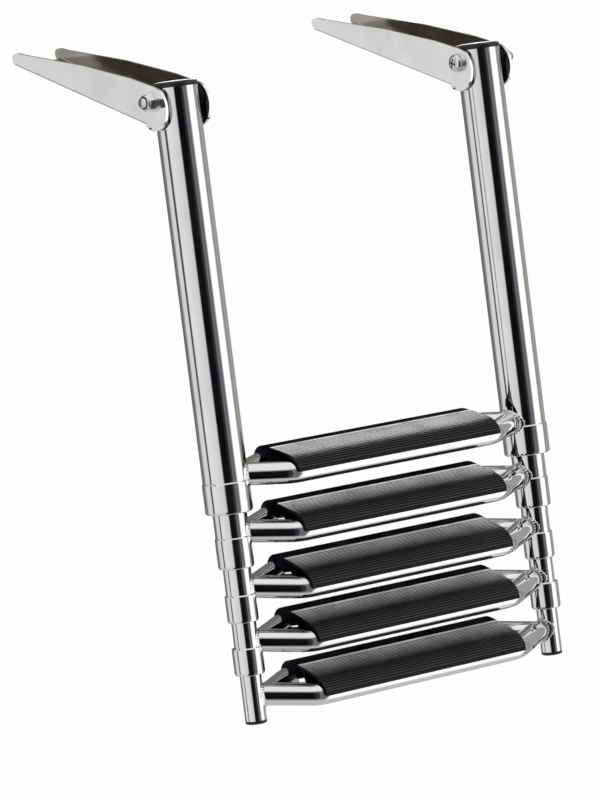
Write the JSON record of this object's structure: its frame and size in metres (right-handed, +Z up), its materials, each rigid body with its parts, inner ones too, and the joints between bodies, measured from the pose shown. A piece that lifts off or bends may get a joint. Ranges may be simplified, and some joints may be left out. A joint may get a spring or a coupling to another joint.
{
  "type": "boat boarding ladder",
  "caption": "Telescoping stainless boarding ladder with black ribbed treads on two channel brackets that fold over a platform edge.",
  "frame": {"origin": "centre of the bolt pattern, on the underside of the two brackets, midway between them", "axes": "+X along the hinge line to the right as seen by a climber facing the boat, +Y inboard over the platform, +Z up and square to the bracket bases"},
  "size_m": [0.3902, 0.399, 0.5116],
  "materials": {
    "bracket_steel": "polished stainless sheet with bright edges",
    "fastener_steel": "bright stainless hardware",
    "tube_steel": "mirror-polished stainless tube",
    "collar_steel": "turned and polished stainless",
    "frame_steel": "polished stainless tube, welded",
    "tread_plastic": "satin black ribbed plastic",
    "cap_plastic": "satin black moulded plastic",
    "nylon": "natural nylon"
  },
  "bodies": {
    "brackets": {"bracket_left": "bracket_steel", "bracket_right": "bracket_steel", "hinge_bolt_left": "fastener_steel", "hinge_bolt_right": "fastener_steel", "hinge_nut_left": "fastener_steel", "hinge_nut_right": "fastener_steel", "hinge_washers": "fastener_steel", "hinge_spacers": "nylon"},
    "section_1": {"tube_1_left": "tube_steel", "tube_1_right": "tube_steel", "top_cap_left": "cap_plastic", "top_cap_right": "cap_plastic", "collar_1_left": "collar_steel", "collar_1_right": "collar_steel", "guide_bush_1_left": "nylon", "guide_bush_1_right": "nylon", "step_1_frame": "frame_steel", "step_1_tread": "tread_plastic"},
    "section_2": {"tube_2_left": "tube_steel", "tube_2_right": "tube_steel", "stop_bush_2_left": "nylon", "stop_bush_2_right": "nylon", "collar_2_left": "collar_steel", "collar_2_right": "collar_steel", "guide_bush_2_left": "nylon", "guide_bush_2_right": "nylon", "step_2_frame": "frame_steel", "step_2_tread": "tread_plastic"},
    "section_3": {"tube_3_left": "tube_steel", "tube_3_right": "tube_steel", "stop_bush_3_left": "nylon", "stop_bush_3_right": "nylon", "collar_3_left": "collar_steel", "collar_3_right": "collar_steel", "guide_bush_3_left": "nylon", "guide_bush_3_right": "nylon", "step_3_frame": "frame_steel", "step_3_tread": "tread_plastic"},
    "section_4": {"tube_4_left": "tube_steel", "tube_4_right": "tube_steel", "stop_bush_4_left": "nylon", "stop_bush_4_right": "nylon", "collar_4_left": "collar_steel", "collar_4_right": "collar_steel", "guide_bush_4_left": "nylon", "guide_bush_4_right": "nylon", "step_4_frame": "frame_steel", "step_4_tread": "tread_plastic"},
    "section_5": {"tube_5_left": "tube_steel", "tube_5_right": "tube_steel", "stop_bush_5_left": "nylon", "stop_bush_5_right": "nylon", "end_plug_left": "cap_plastic", "end_plug_right": "cap_plastic", "step_5_frame": "frame_steel", "step_5_tread": "tread_plastic"}
  },
  "joints": [
    {"name": "fold", "type": "hinge", "parent": "brackets", "child": "section_1", "pos_m": [0, -0.127, 0.0218], "axis": [-1, 0, 0], "range_deg": [0, 249]},
    {"name": "slide_2", "type": "slide", "parent": "section_1", "child": "section_2", "axis": [0, -0.3256, -0.9455], "range_m": [0, 0.24]},
    {"name": "slide_3", "type": "slide", "parent": "section_2", "child": "section_3", "axis": [0, -0.3256, -0.9455], "range_m": [0, 0.24]},
    {"name": "slide_4", "type": "slide", "parent": "section_3", "child": "section_4", "axis": [0, -0.3256, -0.9455], "range_m": [0, 0.24]},
    {"name": "slide_5", "type": "slide", "parent": "section_4", "child": "section_5", "axis": [0, -0.3256, -0.9455], "range_m": [0, 0.24]}
  ]
}
